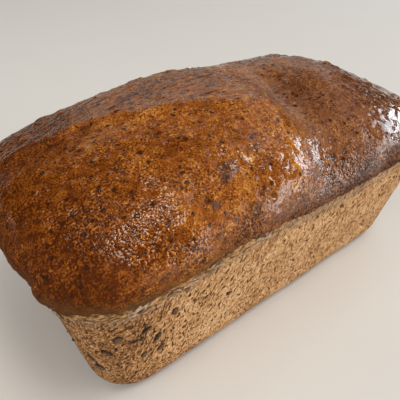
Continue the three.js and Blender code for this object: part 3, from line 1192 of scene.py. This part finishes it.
class LOAF_OT_set_grains(bpy.types.Operator):
    """Set whole grains in the sides"""

    bl_idname = "loaf.set_grains"
    bl_label = "Set Grains"

    def execute(self, context):
        grain = context.scene.loaf_grain
        piece = new_piece("grains", placed_points(bpy.data.objects[BODY_PIECE].data, grain))
        grow_grains(piece, grain, grain_finish(grain))
        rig.ride(piece, BODY)
        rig.slot(piece, "grain")
        return {"FINISHED"}


# Flakes

MOST_FLAKES_PER_SQUARE_METRE = 400000.0
FLAKE_ROWS, FLAKE_COLUMNS = 5, 3

# The least and the most by which a flake's size is multiplied, how far it may turn out of level in radians,
# and how much it narrows towards its ends
FLAKE_SCALES = 0.4, 1.2
FLAKE_TURN = 0.5
FLAKE_TAPER = 2.8


def flake_shape(board, given):
    """A thin strip with tapered ends that curls away at its middle."""
    inputs = {"Size": (1, 1, 1), "Vertices X": FLAKE_ROWS, "Vertices Y": FLAKE_COLUMNS, "Vertices Z": 2}
    strip = board.add("GeometryNodeMeshCube", inputs)
    x = board.x
    taper = 1 - x * x * FLAKE_TAPER
    curl = (1 - x * x * 4) * given["Curl"]
    inputs = {
        0: x * given["Length"],
        1: board.y * taper * given["Width"],
        2: board.z * given["Thickness"] + curl,
    }
    shaped = board.add("ShaderNodeCombineXYZ", inputs)
    return board.add("GeometryNodeSetPosition", {"Geometry": strip, "Position": shaped})


def scatter_flakes(piece, flake, material):
    """Scatters torn flakes along the crust's ragged edge, most of them at the near corner."""
    sizes = sizes_of(flake)
    board, given = shape_board("Loaf Flakes", sizes)
    edge = rim_edge(board, board.kept(ABOVE_RIM))
    at_edge = abs(edge + 2 * MM).ease_mm(4, 0.5)
    torn = 0.04 + board.x.ease_mm(-10, -60) * board.y.ease_mm(-20, -50)
    torn = torn * board.noise(9 * MM, 1).ease(0.38, 0.58)
    scattered = scattered_points(board, given, MOST_FLAKES_PER_SQUARE_METRE, at_edge * torn)
    facing = scattered.other("Normal")
    level = board.vector("CROSS_PRODUCT", (0, 0, 1), facing)
    inputs = {"Primary Axis": facing, "Secondary Axis": level}
    lying = board.add("FunctionNodeAxesToRotation", inputs, primary_axis="Z", secondary_axis="X")
    turn = rolled(board, lying, random_between(board, -FLAKE_TURN, FLAKE_TURN, given["Seed"] + 1))
    scale = random_between(board, *FLAKE_SCALES, given["Seed"] + 2)
    strewn = copies(board, scattered, flake_shape(board, given), turn, scale)
    apply_shape(piece, board, strewn, sizes, material)


def flake_finish(flake):
    """Pale torn crumb, browned in places."""
    material, board = new_finish("torn_flake")
    browned = board.noise(2.5 * MM, 2).ease(0.40, 0.62)
    shade = board.tint(browned, flake.crumb, flake.baked)
    end_finish(board, {"Base Color": shade, "Roughness": 0.8, "Specular IOR Level": 0.2})
    return material


class LOAF_OT_tear_flakes(bpy.types.Operator):
    """Set torn flakes along the crust's edge"""

    bl_idname = "loaf.tear_flakes"
    bl_label = "Tear Flakes"

    def execute(self, context):
        flake = context.scene.loaf_flake
        piece = new_piece("flakes", bpy.data.objects[BODY_PIECE].data.copy())
        scatter_flakes(piece, flake, flake_finish(flake))
        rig.ride(piece, BODY)
        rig.slot(piece, "flake")
        return {"FINISHED"}


# Stage

CAMERA_PLACE = Vector((-127.5, -141.55, 185.8)) * MM
CAMERA_YAW = math.radians(38.0)
CAMERA_PITCH = math.radians(37.99)
CAMERA_ROLL = math.radians(1.29)
CAMERA_FOCAL_PIXELS = 390.6
IMAGE_PIXELS = 400
SENSOR_MM = 36.0
FLOOR_SIDE = 5.0
# The colour of the floor's faint cloudy patches of painted shade
FLOOR_SHADE_PATCH = (0.62, 0.60, 0.55)

# Where a light stands round the loaf and above the floor in degrees, its width, height, colour and distance
Light = namedtuple("Light", "turn rise wide tall tone away", defaults=(3.0,))

# Each light, by the name of the setting that holds its power
LIGHTS = {
    "window": Light(turn=346, rise=20, wide=1.2, tall=0.9, tone=(0.82, 0.92, 1.0)),
    "overhead": Light(turn=301, rise=72, wide=0.8, tall=1.2, tone=(1.0, 0.88, 0.74)),
    "front": Light(turn=313, rise=9, wide=1.7, tall=1.0, tone=(1.0, 0.96, 0.94)),
    "back": Light(turn=57, rise=24, wide=3.6, tall=1.8, tone=(1.0, 0.93, 0.86)),
    "upper": Light(turn=5, rise=46, wide=1.2, tall=1.2, tone=(0.95, 0.95, 1.0)),
    "sky_left": Light(turn=143, rise=66, wide=0.4, tall=0.6, tone=(1.0, 0.88, 0.74)),
    "near_fill": Light(turn=297, rise=18, wide=1.8, tall=1.8, tone=(1.0, 0.98, 0.95)),
    "left_fill": Light(turn=200, rise=46, wide=0.7, tall=0.7, tone=(1.0, 0.97, 0.92), away=1.0),
}

# Lights that leave no reflection on the crust
FILLS = ("near_fill", "left_fill")


def set_light(name, plan, watts):
    """An oblong soft light that faces the loaf."""
    lamp = bpy.data.lights.new(name, "AREA")
    lamp.shape = "RECTANGLE"
    lamp.energy = watts
    lamp.size = plan.wide
    lamp.size_y = plan.tall
    lamp.color = plan.tone
    holder = bpy.data.objects.new(name, lamp)
    turn, rise = math.radians(plan.turn), math.radians(plan.rise)
    towards = Vector((math.cos(turn) * math.cos(rise), math.sin(turn) * math.cos(rise), math.sin(rise)))
    middle = Vector((0, 0, LOAF_HEIGHT / 2))
    holder.location = middle + towards * plan.away
    holder.rotation_euler = towards.to_track_quat("Z", "Y").to_euler()
    holder.visible_glossy = name not in FILLS
    bpy.context.scene.collection.objects.link(holder)


def set_camera():
    """The camera at the photograph's viewing angle."""
    lens = bpy.data.cameras.new("camera")
    lens.sensor_width = SENSOR_MM
    lens.lens = SENSOR_MM * CAMERA_FOCAL_PIXELS / IMAGE_PIXELS
    lens.clip_start = 0.01
    camera = bpy.data.objects.new("camera", lens)
    tilt = Matrix.Rotation(-CAMERA_YAW, 4, "Z") @ Matrix.Rotation(math.pi / 2 - CAMERA_PITCH, 4, "X")
    camera.matrix_world = Matrix.Translation(CAMERA_PLACE) @ tilt @ Matrix.Rotation(CAMERA_ROLL, 4, "Z")
    bpy.context.scene.collection.objects.link(camera)
    bpy.context.scene.camera = camera


def floor_finish(stage):
    """Matt pale floor with faint cloudy patches of painted shade."""
    material, board = new_finish("pale_floor")
    cloudy = board.noise(0.12, 3)
    tone = board.tint(cloudy.ease(0.3, 0.7) * 0.06, stage.floor, FLOOR_SHADE_PATCH)
    end_finish(board, {"Base Color": tone, "Roughness": 0.9})
    return material


def set_floor(stage):
    """A wide flat floor under the loaf."""
    half = FLOOR_SIDE / 2
    mesh = bpy.data.meshes.new("floor")
    corners = [(-half, -half, 0), (half, -half, 0), (half, half, 0), (-half, half, 0)]
    mesh.from_pydata(corners, [], [(0, 1, 2, 3)])
    mesh.materials.append(floor_finish(stage))
    floor = new_piece("floor", mesh)
    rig.stage(floor)


def set_room(stage):
    """Even light from all round, which leaves no reflection on the crust."""
    world = bpy.data.worlds.new("room")
    bpy.context.scene.world = world
    world.use_nodes = True
    board = Board(world.node_tree)
    glow = board.add("ShaderNodeBackground", {"Color": (*stage.room, 1.0), "Strength": 1.0})
    board.add("ShaderNodeOutputWorld", {"Surface": glow})
    world.cycles_visibility.glossy = False


class LOAF_OT_set_stage(bpy.types.Operator):
    """Set the floor, the lights and the camera"""

    bl_idname = "loaf.set_stage"
    bl_label = "Set Stage"

    def execute(self, context):
        stage = context.scene.loaf_stage
        set_camera()
        set_floor(stage)
        set_room(stage)
        for name, plan in LIGHTS.items():
            set_light(name, plan, getattr(stage, name))
        context.scene.view_settings.view_transform = "Standard"
        return {"FINISHED"}


class LOAF_PT_sidebar(bpy.types.Panel):
    """The loaf's pieces and their settings"""

    bl_idname = "LOAF_PT_sidebar"
    bl_label = "Multigrain Tin Loaf"
    bl_space_type = "VIEW_3D"
    bl_region_type = "UI"
    bl_category = "Loaf"

    def draw(self, context):
        for operator, settings in STEPS.items():
            box = self.layout.box()
            box.operator(operator.bl_idname)
            for name in settings:
                group = getattr(context.scene, name)
                for prop in type(group).__annotations__:
                    box.prop(group, prop)


SETTINGS = {
    "loaf_stage": StageSettings,
    "loaf_crust": CrustSettings,
    "loaf_side": SideSettings,
    "loaf_grain": GrainSettings,
    "loaf_flake": FlakeSettings,
}
STEPS = {
    LOAF_OT_set_stage: ("loaf_stage",),
    LOAF_OT_bake_body: ("loaf_crust", "loaf_side"),
    LOAF_OT_set_grains: ("loaf_grain",),
    LOAF_OT_tear_flakes: ("loaf_flake",),
}
CLASSES = (*SETTINGS.values(), *STEPS, LOAF_PT_sidebar)


def register():
    for item in CLASSES:
        bpy.utils.register_class(item)
    for name, group in SETTINGS.items():
        setattr(bpy.types.Scene, name, PointerProperty(type=group))


def unregister():
    for name in SETTINGS:
        delattr(bpy.types.Scene, name)
    for item in reversed(CLASSES):
        bpy.utils.unregister_class(item)


def write_sizes():
    """Keeps the solid's box and the dressed loaf's box for comparison."""
    boxes = {"cad": SOLID_BOX, "visual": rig.bounds()}
    plain = {name: [list(corner) for corner in box] for name, box in boxes.items()}
    with open("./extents.json", "w") as file:
        json.dump(plain, file, indent=1)


def main():
    register()
    bpy.ops.loaf.set_stage()
    bpy.ops.loaf.bake_body()
    bpy.ops.loaf.set_grains()
    bpy.ops.loaf.tear_flakes()
    write_sizes()


if __name__ == "__main__":
    main()
